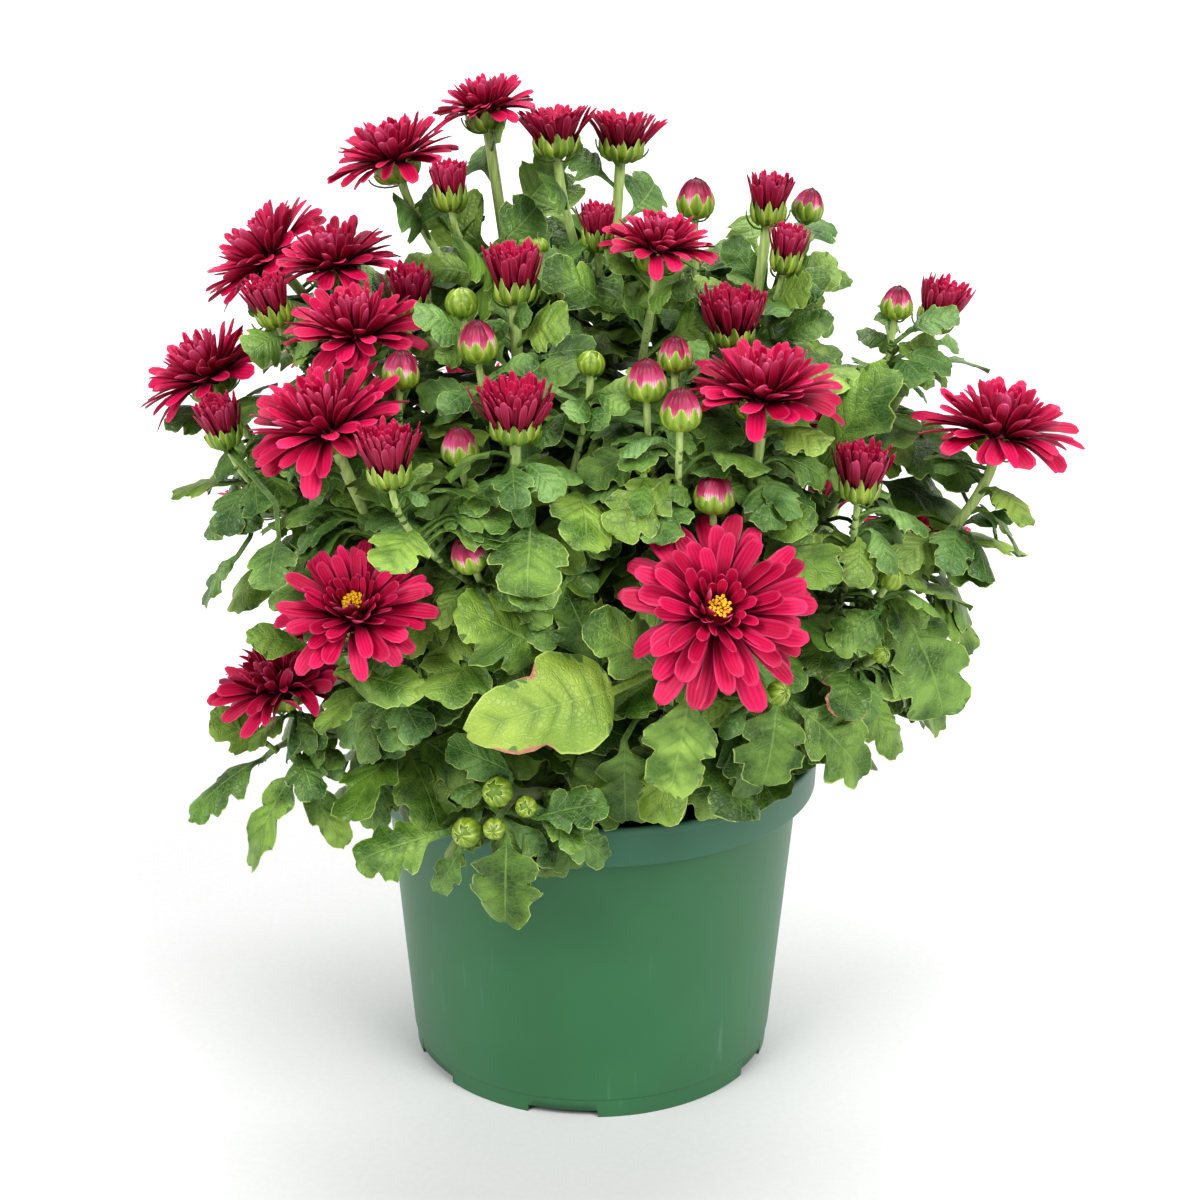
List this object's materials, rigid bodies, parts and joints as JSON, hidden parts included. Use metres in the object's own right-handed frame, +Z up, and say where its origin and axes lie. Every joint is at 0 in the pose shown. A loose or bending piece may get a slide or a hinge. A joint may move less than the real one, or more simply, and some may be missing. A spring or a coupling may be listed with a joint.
{
  "type": "potted chrysanthemum plant",
  "caption": "Potted chrysanthemum: a tapered green plastic pot of soil with leafy stems that carry crimson blooms and buds.",
  "frame": {"origin": "on the ground under the middle of the plant, on the axis of the pot", "axes": "+Z up along the pot's axis, -Y towards the front of the plant, +X to its right"},
  "size_m": [0.3129, 0.2994, 0.362],
  "materials": {
    "pot_plastic": "satin moulded green plastic",
    "potting_soil": "matte crumbly dark soil",
    "leaf_green": "matte, finely haired leaf",
    "petal_crimson": "soft velvety petal"
  },
  "bodies": {
    "root": {"bloom_01": "petal_crimson", "bloom_02": "petal_crimson", "bloom_03": "petal_crimson", "bloom_04": "petal_crimson", "bloom_05": "petal_crimson", "bloom_06": "petal_crimson", "bloom_07": "petal_crimson", "bloom_08": "petal_crimson", "bloom_09": "petal_crimson", "bloom_10": "petal_crimson", "bloom_11": "petal_crimson", "bloom_12": "petal_crimson", "bloom_13": "petal_crimson", "bloom_14": "petal_crimson", "bloom_15": "petal_crimson", "bloom_16": "petal_crimson", "bloom_17": "petal_crimson", "bloom_18": "petal_crimson", "bloom_19": "petal_crimson", "bloom_20": "petal_crimson", "half_open_bloom_01": "petal_crimson", "half_open_bloom_02": "petal_crimson", "half_open_bloom_03": "petal_crimson", "half_open_bloom_04": "petal_crimson", "half_open_bloom_05": "petal_crimson", "half_open_bloom_06": "petal_crimson", "half_open_bloom_07": "petal_crimson", "half_open_bloom_08": "petal_crimson", "half_open_bloom_09": "petal_crimson", "half_open_bloom_10": "petal_crimson", "half_open_bloom_11": "petal_crimson", "half_open_bloom_12": "petal_crimson", "half_open_bloom_13": "petal_crimson", "half_open_bloom_14": "petal_crimson", "half_open_bloom_15": "petal_crimson", "half_open_bloom_16": "petal_crimson", "half_open_bloom_17": "petal_crimson", "half_open_bloom_18": "petal_crimson", "leafy_stem_01": "leaf_green", "leafy_stem_02": "leaf_green", "leafy_stem_03": "leaf_green", "leafy_stem_04": "leaf_green", "leafy_stem_05": "leaf_green", "leafy_stem_06": "leaf_green", "leafy_stem_07": "leaf_green", "leafy_stem_08": "leaf_green", "leafy_stem_09": "leaf_green", "leafy_stem_10": "leaf_green", "leafy_stem_11": "leaf_green", "leafy_stem_12": "leaf_green", "leafy_stem_13": "leaf_green", "leafy_stem_14": "leaf_green", "leafy_stem_15": "leaf_green", "leafy_stem_16": "leaf_green", "leafy_stem_17": "leaf_green", "leafy_stem_18": "leaf_green", "leafy_stem_19": "leaf_green", "leafy_stem_20": "leaf_green", "pot": "pot_plastic", "soil": "potting_soil"}
  },
  "joints": []
}
